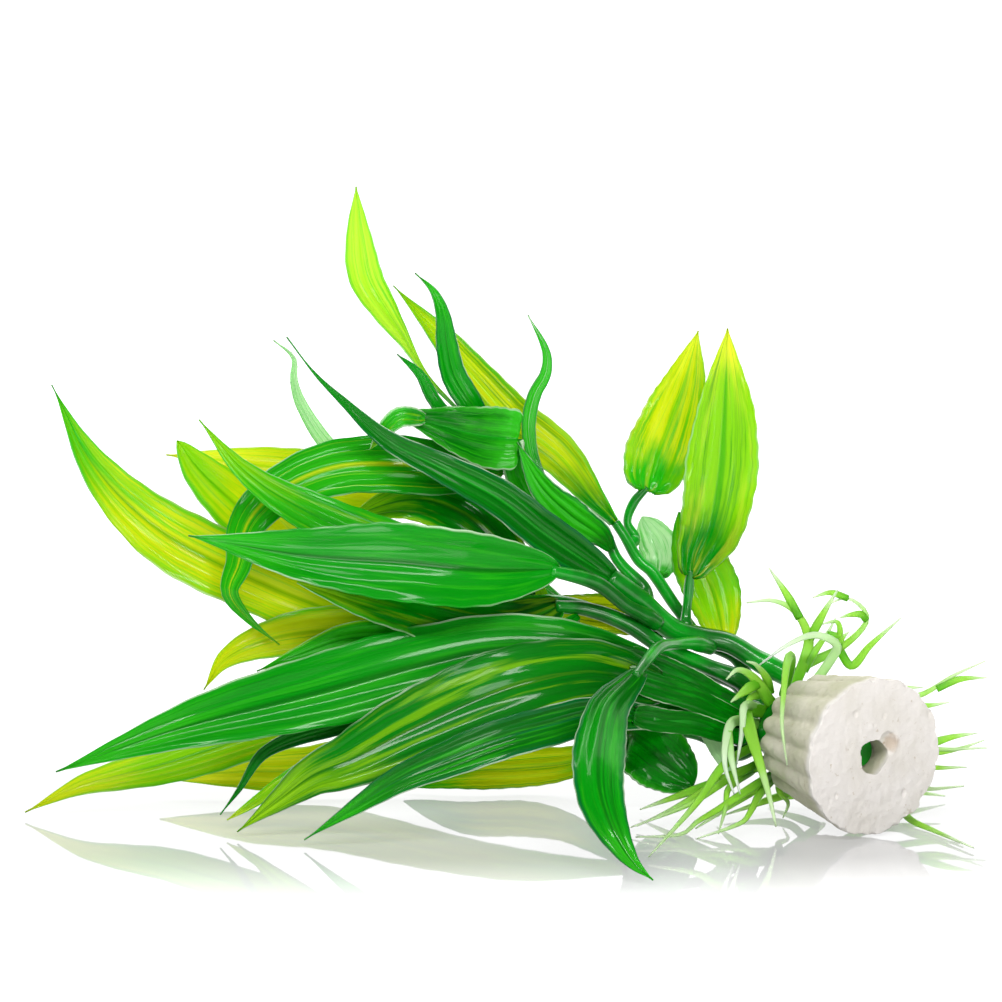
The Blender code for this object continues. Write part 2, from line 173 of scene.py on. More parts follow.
def placed(point):
    """A point of the plant's layout, in millimetres, as a place in the scene."""
    return (Vector(point) + PLACE) * MM


def cast_stone():
    """Matt off-white casting: warm and pitted on its scraped face, dusty olive in its flutes."""
    made, shader, f = new_material("cast_stone")
    at = f.node("ShaderNodeTexCoord", {}, {}, output="Object")
    speckle = f.noise(at, 900.0, 4.0, 0.6)
    cloud = f.noise(at, 110.0, 3.0)
    grain = f.noise(at, 2600.0, 2.0)
    across = f.node("ShaderNodeVectorMath", {"operation": "SUBTRACT"}, {0: at, 1: placed(STONE_FOOT)})
    depth = f.node("ShaderNodeVectorMath", {"operation": "DOT_PRODUCT"}, {0: across, 1: STONE_AXIS},
                   output="Value")
    flank = depth.ramp(0.0004, 0.0022)
    face = cloud.ramp(0.35, 0.7).blend((0.63, 0.60, 0.57), (0.575, 0.545, 0.50))
    side = cloud.ramp(0.3, 0.7).blend((0.55, 0.52, 0.43), (0.43, 0.42, 0.30))
    colour = flank.blend(face, side)
    pits = speckle.ramp(0.64, 0.72)
    colour = (pits * 0.6).blend(colour, (0.40, 0.33, 0.24))
    flecks = f.noise(at, 330.0, 2.0).ramp(0.70, 0.76)
    colour = (flecks * 0.55).blend(colour, (0.30, 0.22, 0.14))
    # darker brown round the chipped notch beside the bore
    broken = placed(STONE_FOOT) + Vector((3.9, 2.5, 2.4)) * MM
    apart = f.node("ShaderNodeVectorMath", {"operation": "DISTANCE"}, {0: at, 1: broken}, output="Value")
    notch_brown = (1.0 - (apart + (speckle - 0.5) * 0.002).ramp(0.0012, 0.0026)) * 0.55
    colour = notch_brown.blend(colour, (0.36, 0.25, 0.16))
    feed(shader, "Base Color", colour)
    feed(shader, "Roughness", 0.78 + grain * 0.2)
    height = speckle * 0.6 + grain * 0.4
    feed(shader, "Normal", f.node("ShaderNodeBump", {}, {"Strength": 0.35, "Distance": 0.0003,
                                                        "Height": height}))
    shader.inputs["Specular IOR Level"].default_value = 0.25
    return made


bare_selection()
bpy.ops.mesh.primitive_cone_add(vertices=192, radius1=STONE_FOOT_RADIUS * MM, radius2=STONE_NECK_RADIUS * MM,
                                depth=STONE_LENGTH * MM)
stone = bpy.context.object
stone.name = "stone_weight"
bpy.ops.object.mode_set(mode="EDIT")
for level in range(1, STONE_RINGS):
    bpy.ops.mesh.select_all(action="SELECT")
    height = (level / STONE_RINGS - 0.5) * STONE_LENGTH * MM
    bpy.ops.mesh.bisect(plane_co=(0, 0, height), plane_no=(0, 0, 1))
bpy.ops.object.mode_set(mode="OBJECT")
for vertex in stone.data.vertices:
    up = min(max(vertex.co.z / (STONE_LENGTH * MM) + 0.5, 0.0), 1.0)
    turn = Vector((1, 0)).angle_signed(vertex.co.xy)
    lobe = abs(cos(0.5 * FLUTES * turn + 0.4 * sin(3.0 * turn)))
    groove = (1.0 - lobe ** 0.7) * (0.5 + 1.5 * up ** 0.8)
    shoulder = 1.6 * max(up - 0.88, 0.0) ** 2 / 0.0144
    rim = 0.35 * max(0.06 - up, 0.0) / 0.06
    wobble = 0.25 * sin(5.0 * turn + 1.0) * (1.0 - up)
    radius = vertex.co.xy.length / MM
    if radius > 1.0:
        vertex.co.xy *= (radius - groove - shoulder - rim - abs(wobble)) / radius

bpy.ops.mesh.primitive_cylinder_add(vertices=40, radius=BORE_RADIUS * MM, depth=60 * MM)
bore = bpy.context.object
for vertex in bore.data.vertices:
    turn = Vector((1, 0)).angle_signed(vertex.co.xy)
    vertex.co.xy *= 1.0 - 0.07 * sin(3.0 * turn + 0.6) - 0.05 * cos(5.0 * turn)
finish_with(stone, "BOOLEAN", object=bore, operation="DIFFERENCE", solver="EXACT")
bpy.data.objects.remove(bore, do_unlink=True)

# chips: the broken side of the bore, then nicks round the rim of the underside
CHIPS = [(-3.6, 2.4, 2.3, 0.45)]
for i in range(RIM_CHIPS):
    turn = i * 2.0 * pi / RIM_CHIPS + 0.12 * sin(2.3 * i)
    size = 0.5 + 0.8 * abs(sin(1.7 * i)) ** 2
    CHIPS.append((RIM_RADIUS * cos(turn), RIM_RADIUS * sin(turn), size, 0.75))
for i in range(FACE_PITS):
    CHIPS.append((15.0 * sin(2.4 * i), 13.0 * cos(3.1 * i + 1.0), 0.45 + 0.12 * (i % 3), 0.5))
for across, rise, size, flat in CHIPS:
    bare_selection()
    bpy.ops.mesh.primitive_ico_sphere_add(subdivisions=2, radius=size * MM,
                                          location=(across * MM, rise * MM, -0.5 * STONE_LENGTH * MM))
    chip = bpy.context.object
    chip.scale = (1.0, 1.3, flat)
    bpy.ops.object.transform_apply(location=True, rotation=True, scale=True)
    finish_with(stone, "BOOLEAN", object=chip, operation="DIFFERENCE", solver="EXACT")
    bpy.data.objects.remove(chip, do_unlink=True)
finish_with(stone, "REMESH", mode="VOXEL", voxel_size=GRIT)
crumble = bpy.data.textures.new("crumble", "CLOUDS")
crumble.noise_scale = 0.0022
crumble.noise_depth = 3
finish_with(stone, "DISPLACE", texture=crumble, texture_coords="LOCAL", strength=0.0005, mid_level=0.75)
pick(stone)
stone.rotation_mode = "QUATERNION"
stone.rotation_quaternion = STONE_AXIS.to_track_quat("Z", "Y")
stone.location = placed(STONE_FOOT + STONE_AXIS * STONE_LENGTH * 0.5)
bpy.ops.object.transform_apply(location=True, rotation=True, scale=True)
bpy.ops.object.shade_smooth()
stone.data.materials.clear()
stone.data.materials.append(cast_stone())
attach(stone, "root")
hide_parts("stone_base")


# ---------------------------------------------------------------------------
# The hub and the stems: a green plug is pushed into the stone's bore, and round
# tapering stems grow from its dome. All are moulded in soft glossy plastic, deep
# green, with a faint flash line and small knots where they fork.
# ---------------------------------------------------------------------------
# node, radius at the hub, radius at the far end, route from the hub
STEMS = (
    ("stem_main", 2.4, 2.5, ((63, 35, 28.5), (56, 36, 32), (49, 37, 36), (42.5, 36, 37.5), (36, 34, 40),
                             (29, 31, 47), (22, 28.5, 52.8))),
    ("stem_upper", 1.8, 1.5, ((33, 29, 42), (30.5, 27.3, 44), (26, 24.5, 47), (19, 21, 53), (9, 15, 57))),
    ("stem_middle", 2.0, 1.6, ((54, 33, 25), (51.5, 32, 28.5), (44, 31, 32), (34, 28, 37), (26, 27, 42.5),
                               (17, 26, 46), (10, 24, 47))),
    ("stem_left_upper", 1.9, 1.5, ((55, 31, 22), (50.4, 29.5, 24), (41, 26.5, 29), (29, 21, 34.8))),
    ("stem_left_middle", 1.9, 1.5, ((55, 29, 20), (50.2, 27.5, 20.6), (42, 23, 25.8), (31, 16.5, 30.8))),
    ("stem_left_lower", 1.9, 1.4, ((55, 28, 17), (50.2, 26, 17), (42, 19.5, 21.4), (31, 12, 24.2))),
    ("stem_bottom", 1.6, 1.2, ((55, 29, 14), (50.5, 27, 13), (42, 28, 17), (34, 30.5, 17.5), (25.5, 37, 14))),
    ("stem_back", 1.5, 1.2, ((56, 37, 22), (55, 41, 24), (51, 43, 31), (44, 42.5, 35), (38, 44, 42),
                             (32, 46, 50.5), (29, 47, 53), (25.7, 48, 58.5), (23.7, 48, 61.5))),
    ("stem_top", 1.5, 0.9, ((31, 33, 45), (30, 38, 48), (24, 38, 55), (21, 38, 61.5), (14.5, 37, 67.5),
                            (8, 36, 71.5), (2, 35, 77), (-7, 33.5, 85.5))),
    ("stem_hidden", 1.5, 1.2, ((53, 34, 24), (50.5, 36.5, 27), (40, 39.5, 31), (25, 37, 41), (10, 35, 46),
                               (-6, 32, 44.5), (-14.5, 30, 42))),
    ("stalk_upright_left", 1.2, 0.9, ((27, 48.5, 56), (28.2, 51, 57.5), (26.5, 51, 61), (28, 51, 65.5),
                                      (31, 51, 69))),
    ("stalk_upright_right", 1.3, 0.9, ((39.5, 35.5, 39), (39.5, 37, 42.2), (40, 38, 47), (40.4, 38, 52.5))),
    ("stalk_drooping", 1.6, 1.1, ((45, 34.5, 35.5), (41, 29.5, 37.5), (37, 24, 38.5), (33, 16, 39.5),
                                  (30, 8, 38), (27.5, 2, 36))),
)
PLUG_RADIUS = 3.5
PLUG_LENGTH = 21.5
PLUG_MIDDLE = -9.75
DOME_RADIUS = 9.0
DOME_RISE = 3.2


def along(route, share):
    """Point and direction at a share of a smooth curve through the route's points."""
    points = [Vector(p) for p in route]
    reach = [0.0]
    for a, b in zip(points, points[1:]):
        reach.append(reach[-1] + (b - a).length)
    slopes = []
    for i in range(len(points)):
        low = max(i - 1, 0)
        high = min(i + 1, len(points) - 1)
        slopes.append((points[high] - points[low]) / (reach[high] - reach[low]))
    at = share * reach[-1]
    i = 0
    while i < len(points) - 2 and at > reach[i + 1]:
        i += 1
    span = reach[i + 1] - reach[i]
    t = (at - reach[i]) / span
    place = (
        points[i] * (2 * t**3 - 3 * t**2 + 1)
        + slopes[i] * span * (t**3 - 2 * t**2 + t)
        + points[i + 1] * (3 * t**2 - 2 * t**3)
        + slopes[i + 1] * span * (t**3 - t**2)
    )
    heading = (
        (points[i + 1] - points[i]) * (6 * t - 6 * t**2)
        + slopes[i] * span * (3 * t**2 - 4 * t + 1)
        + slopes[i + 1] * span * (3 * t**2 - 2 * t)
    )
    return place, heading.normalized()


def stem_plastic():
    """Deep green soft plastic, glossy, a little lighter where the moulding is thin."""
    made, shader, f = new_material("stem_plastic")
    at = f.node("ShaderNodeTexCoord", {}, {}, output="Object")
    cloud = f.noise(at, 90.0, 3.0)
    streak = f.noise(at, 700.0, 2.0)
    colour = cloud.ramp(0.35, 0.7).blend((0.0, 0.10, 0.003), (0.0, 0.30, 0.008))
    feed(shader, "Base Color", colour)
    feed(shader, "Roughness", 0.22 + streak * 0.2)
    feed(shader, "Normal", f.node("ShaderNodeBump", {}, {"Strength": 0.2, "Distance": 0.0003,
                                                        "Height": streak}))
    shader.inputs["Specular IOR Level"].default_value = 0.25
    shader.inputs["Coat Weight"].default_value = 0.4
    shader.inputs["Coat Roughness"].default_value = 0.08
    return made


STEM_PLASTIC = stem_plastic()
for name, first, last, route in STEMS:
    bare_selection()
    curve = bpy.data.curves.new(name + "_tube", "CURVE")
    curve.dimensions = "3D"
    curve.bevel_depth = MM
    curve.bevel_resolution = 5
    curve.use_fill_caps = True
    line = curve.splines.new("POLY")
    steps = 9 * len(route)
    line.points.add(steps)
    for i in range(steps + 1):
        share = i / steps
        knot = 0.22 * exp(-((share - 0.12) / 0.05) ** 2) + 0.12 * sin(9.0 * share + first)
        line.points[i].co = (*placed(along(route, share)[0]), 1.0)
        line.points[i].radius = first + (last - first) * share + knot
    stem = bpy.data.objects.new(name + "_moulded", curve)
    bpy.context.scene.collection.objects.link(stem)
    pick(stem)
    bpy.ops.object.convert(target="MESH")
    bpy.ops.object.mode_set(mode="EDIT")
    bpy.ops.mesh.select_all(action="SELECT")
    bpy.ops.mesh.remove_doubles(threshold=0.00001)
    bpy.ops.mesh.normals_make_consistent(inside=False)
    bpy.ops.object.mode_set(mode="OBJECT")
    bpy.ops.object.shade_smooth()
    stem.data.materials.clear()
    stem.data.materials.append(STEM_PLASTIC)
    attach(stem, "root")
    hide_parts(name)
bare_selection()

bpy.ops.mesh.primitive_cylinder_add(vertices=64, radius=PLUG_RADIUS * MM, depth=PLUG_LENGTH * MM,
                                    location=(0, 0, PLUG_MIDDLE * MM))
plug = bpy.context.object
bpy.ops.mesh.primitive_uv_sphere_add(segments=48, ring_count=24, radius=DOME_RADIUS * MM,
                                     location=(0, 0, DOME_RISE * MM))
dome = bpy.context.object
dome.scale = (1.0, 1.0, 1.05)
bpy.ops.object.transform_apply(location=True, rotation=True, scale=True)
bpy.ops.object.mode_set(mode="EDIT")
bpy.ops.mesh.select_all(action="SELECT")
bpy.ops.mesh.bisect(plane_co=(0, 0, 0.3 * MM), plane_no=(0, 0, 1), clear_inner=True, use_fill=True)
bpy.ops.object.mode_set(mode="OBJECT")
finish_with(plug, "BEVEL", width=0.5 * MM, segments=3)
finish_with(dome, "BOOLEAN", object=plug, operation="UNION", solver="EXACT")
bpy.data.objects.remove(plug, do_unlink=True)
dome.name = "plug_and_dome"
dome.rotation_mode = "QUATERNION"
dome.rotation_quaternion = STONE_AXIS.to_track_quat("Z", "Y")
dome.location = placed(STONE_FOOT + STONE_AXIS * STONE_LENGTH)
pick(dome)
bpy.ops.object.transform_apply(location=True, rotation=True, scale=True)
bpy.ops.object.shade_smooth_by_angle(angle=radians(40))
dome.data.materials.clear()
dome.data.materials.append(STEM_PLASTIC)
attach(dome, "root")
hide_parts("stem_hub")


# ---------------------------------------------------------------------------
# The leaves: thin blades of translucent plastic with raised parallel veins and a
# folded midrib. They were moulded in yellow or green and sprayed darker along
# the midrib, the rim and the base, so each has its own mix of the same colours.
# ---------------------------------------------------------------------------
YELLOW = (0.68, 0.75, 0.008)
LEMON = (0.86, 0.86, 0.05)
ZEST = (0.56, 0.83, 0.045)
LIME = (0.34, 0.70, 0.004)
SPRING = (0.03, 0.54, 0.006)
GREEN = (0.0, 0.33, 0.003)
DEEP = (0.0, 0.14, 0.002)
MID = (0.0, 0.22, 0.002)
TEAL = (0.0, 0.13, 0.03)
PALE = (0.62, 0.84, 0.55)

# node; base, middle, tip, midrib and rim colour; see-through; width; widest at, how slowly it
# swells, how finely it tapers, foot; fold, waviness; face, face at the tip; route from stalk to tip
LEAVES = (
    ("leaf_far_left", (LIME, YELLOW, SPRING, GREEN, SPRING), 0.6, 15.5, (0.48, 1.1, 1.5, 0.2), 0.2, 0.7,
     (0.2, -0.9, 0.4), (0.3, -1, 0.1),
     ((-15, 30, 42), (-37, 28, 44.5), (-62, 26, 55), (-79, 25, 65), (-92, 23, 79), (-101, 21, 97.5))),
    ("leaf_front", (GREEN, GREEN, SPRING, DEEP, GREEN), 0.4, 17.5, (0.36, 0.75, 1.25, 0.16), 0.3, 0.7,
     (0, -1, 0.15), (0, -1, 0.3),
     ((10.5, 16, 57), (-7, 8, 58.5), (-24, 4, 61), (-46, 0, 63.5), (-70, -4, 68.5))),
    ("leaf_light_middle", (GREEN, SPRING, LIME, GREEN, SPRING), 0.5, 12, (0.4, 0.9, 1.3, 0.2), 0.1, 0.4,
     (0.1, -0.8, 0.5), (0.1, -0.8, 0.5),
     ((9.5, 17.5, 56.5), (-12, 15, 59), (-29, 12, 64), (-48, 10, 73), (-59, 9, 81), (-68, 8, 92))),
    ("leaf_blunt_yellow", (LIME, YELLOW, LIME, GREEN, SPRING), 0.6, 13, (0.6, 1.0, 0.7, 0.2), 0.1, 0.9,
     (0.1, -1, 0.2), (0.1, -1, 0.2),
     ((-12, 33, 44.3), (-30, 35, 50), (-46, 35, 55), (-61, 34, 68), (-69, 33, 76), (-74, 32, 83))),
    ("leaf_back_yellow", (LIME, YELLOW, LEMON, LIME, LIME), 0.6, 12, (0.55, 1.0, 1.2, 0.2), 0.1, 0.4,
     (0, -0.9, 0.3), (0, -0.9, 0.3),
     ((7.5, 37, 46.5), (-4, 43, 61), (-24, 44, 69), (-48, 43, 74), (-67, 42, 77), (-77, 42, 78))),
    ("leaf_arching", (GREEN, SPRING, SPRING, YELLOW, GREEN), 0.55, 13.5, (0.27, 0.8, 1.35, 0.2), -0.1, 0.6,
     (0, -0.8, 0.6), (-0.3, -0.9, 0),
     ((-2, 33.5, 76), (-13, 26.5, 77.6), (-25, 24, 79.2), (-39, 22, 78.8), (-51, 20, 74), (-58, 18, 67),
      (-60, 17, 58), (-62, 16, 52), (-58, 16, 46), (-51, 16, 40))),
    ("leaf_dark_back", (DEEP, GREEN, LIME, DEEP, LIME), 0.4, 13, (0.45, 0.9, 1.0, 0.2), 0.1, 0.5,
     (0, -0.8, 0.5), (0, -0.8, 0.5),
     ((4.5, 33, 47.5), (-3, 30, 60), (-11, 30, 67), (-22, 30, 70), (-36, 30, 66))),
    ("leaf_low_yellow_back", (LIME, YELLOW, YELLOW, GREEN, SPRING), 0.6, 11, (0.5, 1.0, 1.2, 0.2), 0.1, 0.5,
     (0, -0.9, 0.4), (0, -0.9, 0.3),
     ((-8.5, 30, 42), (-16, 22, 41.5), (-24, 20.5, 42.5), (-39, 20, 42.5), (-53, 20, 40.5),
      (-63, 20, 36), (-68, 20, 29))),
    ("leaf_low_light", (GREEN, SPRING, SPRING, DEEP, LIME), 0.5, 9, (0.5, 1.0, 1.2, 0.2), 0.1, 0.5,
     (0, -0.9, 0.4), (0, -0.9, 0.4),
     ((15, 25, 44.5), (7, 19, 40.8), (-10, 16, 40.5), (-34, 14, 42), (-46, 14, 38.5), (-56, 14, 34.5))),
    ("leaf_lower_left", (DEEP, GREEN, SPRING, DEEP, GREEN), 0.4, 17.5, (0.45, 0.8, 1.2, 0.36), 0.2, 0.7,
     (0, -0.85, 0.5), (0, -0.95, 0.3),
     ((31, 22, 34), (15, 13, 39), (-3, 10, 40), (-20, 8, 37), (-40, 6, 32), (-68, 5, 25), (-81, 4, 21),
      (-100, 4, 14))),
    ("leaf_under_front", (DEEP, GREEN, LIME, GREEN, SPRING), 0.4, 15, (0.42, 0.7, 0.9, 0.25), 0.1, 1.3,
     (0, -0.8, 0.5), (0, -0.8, 0.5),
     ((11, 25, 47), (2, 19, 44.8), (-8, 16.5, 45), (-24, 14.5, 49.5), (-38, 14, 53), (-47, 14, 54.5))),
    ("leaf_floor_left", (YELLOW, LIME, YELLOW, GREEN, SPRING), 0.6, 11, (0.5, 1.0, 1.2, 0.2), 0.1, 0.5,
     (0, -0.9, 0.4), (0, -0.9, 0.4),
     ((-13.5, 30, 41), (-30, 26, 29), (-45, 25, 22), (-75, 23, 12), (-88, 21, 9), (-96, 20, 7),
      (-108, 19, 1.3))),
    ("leaf_floor_yellow", (LIME, YELLOW, LEMON, GREEN, SPRING), 0.6, 11, (0.62, 0.9, 1.0, 0.2), 0.05, 0.4,
     (0, -0.9, 0.2), (0, -0.9, 0.2),
     ((27.5, 37, 16), (4, 44, 17), (-18, 43, 13), (-43, 39, 6.8), (-60, 38, 6.3), (-79, 38, 4.8))),
    ("leaf_floor_middle", (SPRING, YELLOW, SPRING, GREEN, GREEN), 0.6, 9, (0.6, 0.9, 0.9, 0.2), 0.05, 0.4,
     (0, -0.9, 0.2), (0, -0.9, 0.2),
     ((27.5, 35, 14.5), (14, 41, 7.8), (3, 43, 5.9), (-11, 42, 5.2), (-24, 43, 1.8))),
    ("leaf_low_front", (DEEP, MID, LIME, DEEP, DEEP), 0.3, 18, (0.42, 0.8, 1.25, 0.4), 0.2, 0.7,
     (0, -0.9, 0.45), (0, -0.9, 0.3),
     ((33, 18, 30), (17, 8, 35.5), (-2, 0, 33), (-22, -4, 25), (-35, -5, 18.5), (-43, -4, 15),
      (-50, -2, 9.5), (-60, 0, 1.4))),
    ("leaf_narrow_front", (DEEP, DEEP, SPRING, TEAL, TEAL), 0.25, 9, (0.42, 0.8, 1.3, 0.45), 0.35, 0.4,
     (0, -1, 0.2), (0, -1, 0.2),
     ((33, 13.5, 24), (19, 3.5, 27), (9, -3, 26), (-2, -8, 24), (-13, -11, 20.5), (-24, -12, 16),
      (-35, -11, 8.8), (-45, -8, 1.5))),
    ("leaf_dark_spike", (DEEP, DEEP, DEEP, GREEN, TEAL), 0.2, 4.5, (0.6, 1.0, 1.1, 0.3), 0.15, 0.2,
     (0, -1, 0.3), (0, -1, 0.2),
     ((33, 20, 28), (11, 12, 29.5), (-15, 9, 28), (-40, 7.5, 23), (-54, 8, 17.5), (-60, 7, 9),
      (-64, 6, 3.8))),
    ("leaf_drooping_front", (DEEP, GREEN, SPRING, DEEP, TEAL), 0.35, 11.5, (0.48, 0.8, 1.15, 0.3), -0.3, 0.4,
     (0.1, -0.6, 0.8), (-0.2, -0.9, 0.3),
     ((28.5, 4, 36.5), (22, -6, 32), (20, -14, 28), (19, -24, 23), (19.4, -32, 17), (22, -38, 10.8),
      (26, -42, 5), (30.5, -44, 1.3))),
    ("leaf_short_broad", (DEEP, GREEN, MID, DEEP, SPRING), 0.4, 15, (0.5, 0.6, 0.6, 0.3), 0.1, 1.2,
     (0.1, -1, 0.1), (0.1, -1, 0.1),
     ((26, 34, 15.6), (28, 28, 16), (32, 25, 13.5), (37, 24.5, 9.5), (41, 24.5, 6.2))),
    ("leaf_upright_left", (SPRING, YELLOW, LEMON, SPRING, LIME), 0.6, 15.5, (0.24, 0.42, 1.1, 0.3), 0.1, 0.9,
     (0.1, -1, 0.1), (0.1, -1, 0.1),
     ((31, 51, 68), (32.3, 52, 72.5), (35.2, 52, 81), (38.8, 52, 91), (42.3, 52, 104.5))),
    ("leaf_upright_right", (GREEN, LIME, LEMON, GREEN, LIME), 0.6, 16.5, (0.42, 0.65, 1.1, 0.2), 0.2, 0.9,
     (0.1, -1, 0.1), (0.1, -1, 0.1),
     ((40.3, 38, 51), (42.3, 39, 56), (44.8, 40, 61.5), (47, 40, 73), (47.8, 40, 84), (48.2, 40, 96),
      (48.5, 40, 107))),
    ("leaf_behind_uprights", (YELLOW, LIME, SPRING, GREEN, GREEN), 0.6, 13, (0.5, 0.8, 0.9, 0.2), 0.1, 0.4,
     (0, -1, 0.2), (0, -1, 0.2),
     ((48.5, 43.5, 34), (46, 46, 45), (42, 47, 54), (38, 47, 64))),
    ("leaf_pale_small", (SPRING, PALE, PALE, PALE, SPRING), 0.7, 9, (0.5, 0.6, 0.7, 0.3), 0.1, 0.9,
     (0, -1, 0.2), (0, -1, 0.2),
     ((33.5, 46.5, 49.5), (34, 53, 54), (30, 57, 61))),
    ("leaf_long_yellow", (GREEN, YELLOW, LIME, LIME, SPRING), 0.6, 10.5, (0.42, 1.1, 1.3, 0.2), 0.15, 0.5,
     (0.2, -1, 0.2), (0.2, -1, 0.2),
     ((23.5, 48, 61.5), (19, 48, 67), (11, 47, 77), (0, 46, 86), (-8, 46, 95), (-16, 45, 105),
      (-26, 44, 116))),
    ("leaf_top", (SPRING, ZEST, ZEST, LIME, SPRING), 0.55, 7.8, (0.66, 6.0, 1.15, 0.42), 0.15, 0.4,
     (0.75, 0.2, 0.6), (-0.1, -1, 0),
     ((-6.5, 34, 85), (-12, 34, 90), (-18.7, 34, 97), (-24, 34, 106), (-28, 34, 112), (-32, 34, 119),
      (-33.5, 33, 129), (-34, 32, 140))),
    ("leaf_top_thin", (DEEP, GREEN, GREEN, DEEP, TEAL), 0.3, 3, (0.45, 0.8, 1.0, 0.4), 0.2, 0.2,
     (0.2, -1, 0), (0.2, -1, 0),
     ((-7, 33, 85.5), (-13.5, 29, 89), (-17, 29, 93), (-20, 29, 98.5), (-25, 29, 103))),
    ("leaf_top_hooked", (GREEN, GREEN, SPRING, DEEP, TEAL), 0.4, 5.8, (0.35, 0.8, 1.3, 0.3), 0.25, 0.3,
     (0.3, -1, 0), (0.3, -1, 0),
     ((-5, 33.5, 84), (-8, 30, 90.5), (-12.5, 30, 98), (-14, 30, 104.5), (-15, 30, 112), (-17, 30, 117),
      (-21, 30, 121))),
    ("leaf_folded_curl", (SPRING, MID, SPRING, GREEN, SPRING), 0.5, 14, (0.12, 0.3, 2.6, 0.85), 0.25, 0.7,
     (0, -1, 0.1), (0.2, -1, 0.1),
     ((1.6, 28, 84), (-4, 26, 84.9), (-10, 24, 86.6), (-17, 22, 88.9), (-23, 20.5, 90.5), (-26.5, 19.5, 89.5),
      (-30.5, 19, 84.5))),
    ("leaf_long_dark", (DEEP, DEEP, GREEN, GREEN, TEAL), 0.25, 9, (0.2, 0.8, 1.9, 0.5), 0.3, 0.5,
     (-0.3, -0.8, 0.5), (-0.3, -0.8, 0.5),
     ((22.5, 28.5, 52.5), (8, 23, 63.5), (-2, 20, 72), (-14, 17, 79), (-27, 16, 86), (-37, 16, 95),
      (-43, 16, 101), (-49, 16, 109))),
    ("leaf_wavy", (GREEN, SPRING, SPRING, PALE, TEAL), 0.4, 3.2, (0.4, 0.8, 1.1, 0.4), 0.1, 0.2,
     (0, -1, 0), (0, -1, 0),
     ((7.8, 37, 72), (5, 40, 78.5), (4.2, 40, 85.5), (5.5, 40, 92), (8, 40, 97), (8, 40, 102), (4, 40, 110))),
    ("leaf_pale_twisted", (SPRING, PALE, PALE, PALE, SPRING), 0.7, 4.6, (0.5, 0.9, 1.0, 0.3), 0.1, 0.3,
     (0, -1, 0.1), (0.5, -0.8, 0),
     ((12, 36.5, 45.5), (0, 49.5, 52), (-18, 53, 62), (-34, 52, 71), (-42, 50, 80), (-47, 49, 88.5),
      (-48.5, 48, 94), (-48.5, 48, 99), (-53, 48, 103))),
    ("leaf_beside_folded", (GREEN, SPRING, SPRING, DEEP, TEAL), 0.4, 7.5, (0.42, 0.9, 1.2, 0.3), 0.25, 0.5,
     (-0.3, -0.9, 0.2), (-0.3, -0.9, 0.2),
     ((22.5, 36.5, 58), (19.5, 32, 62), (13.6, 28, 67), (7, 25.5, 74), (1.5, 24.5, 84))),
)
# broad ribbed stalks and slips of leaf that have no solid of their own
STRAPS = (
    ("stalk_folded", (GREEN, SPRING, GREEN, GREEN, PALE), 0.45, 5.2, (0.5, 0.4, 0.4, 0.7), 0.3, 0.2,
     (-0.2, -0.9, 0.2), (-0.2, -0.9, 0.2),
     ((1, 28.6, 84), (1, 30, 77), (4.4, 31, 69.7), (8.5, 31, 62), (14, 30, 56))),
    ("stalk_lower_left", (DEEP, DEEP, GREEN, DEEP, DEEP), 0.1, 5.6, (0.1, 0.4, 0.3, 0.7), 0.3, 0.2,
     (0, -0.85, 0.5), (0, -0.85, 0.5),
     ((26, 20, 36.5), (34, 22.5, 33.3), (41, 25, 29.6), (47, 27, 26), (53, 29, 23))),
    ("stalk_low_front", (DEEP, DEEP, GREEN, DEEP, DEEP), 0.1, 6.2, (0.1, 0.4, 0.3, 0.7), 0.3, 0.2,
     (0, -0.9, 0.45), (0, -0.9, 0.45),
     ((26, 13, 33.3), (34, 16.6, 29.6), (41, 20.5, 26.5), (47, 24, 23), (53, 27, 20))),
    ("stalk_narrow_front", (DEEP, DEEP, GREEN, DEEP, DEEP), 0.1, 5.4, (0.1, 0.4, 0.3, 0.7), 0.3, 0.2,
     (0, -1, 0.2), (0, -1, 0.2),
     ((27, 9, 25.8), (34, 12.6, 23.6), (41, 17.2, 21.8), (47, 21.5, 19), (53, 25, 16.5))),
    ("stalk_under", (DEEP, GREEN, DEEP, DEEP, DEEP), 0.2, 6.0, (0.3, 0.4, 0.4, 0.6), 0.2, 0.3,
     (0, -1, 0.3), (0, -1, 0.3),
     ((22, 24, 30), (31, 25.5, 27), (40, 27.5, 24), (52, 30, 20))),
    ("slip_behind_stems", (DEEP, YELLOW, LIME, GREEN, GREEN), 0.5, 9.0, (0.5, 0.8, 0.9, 0.4), 0.1, 0.5,
     (0, -1, 0.3), (0, -1, 0.3),
     ((37, 38.5, 39), (27, 39.5, 41.5), (16, 40, 42.5), (5, 40, 44.5))),
    ("slip_pale_low", (PALE, PALE, PALE, PALE, PALE), 0.8, 4.6, (0.5, 0.5, 0.8, 0.5), 0.1, 0.7,
     (0.1, -1, 0.1), (0.1, -1, 0.1),
     ((43, 26, 20), (46, 24, 16), (50.5, 22, 8.5))),
    ("slip_curl", (GREEN, SPRING, LIME, SPRING, PALE), 0.5, 4.6, (0.35, 0.6, 1.0, 0.5), 0.2, 0.2,
     (0, -1, 0.2), (0.2, -1, 0.1),
     ((-19, 21, 90), (-24, 19.4, 90.6), (-27, 18.6, 88.6), (-30.8, 18.2, 83.6))),
    ("slip_spike", (SPRING, LIME, LEMON, LIME, SPRING), 0.5, 2.6, (0.4, 0.8, 1.0, 0.4), 0.1, 0.1,
     (0, -1, 0.3), (0, -1, 0.3),
     ((-47, 8.5, 14), (-55, 7, 7.5), (-62.5, 6, 2.6))),
)
VEINS = 4.0
VEIN_HEIGHT = 0.30
LEAF_ROWS = 60
LEAF_COLUMNS = 28
LEAF_THICKNESS = 1.7


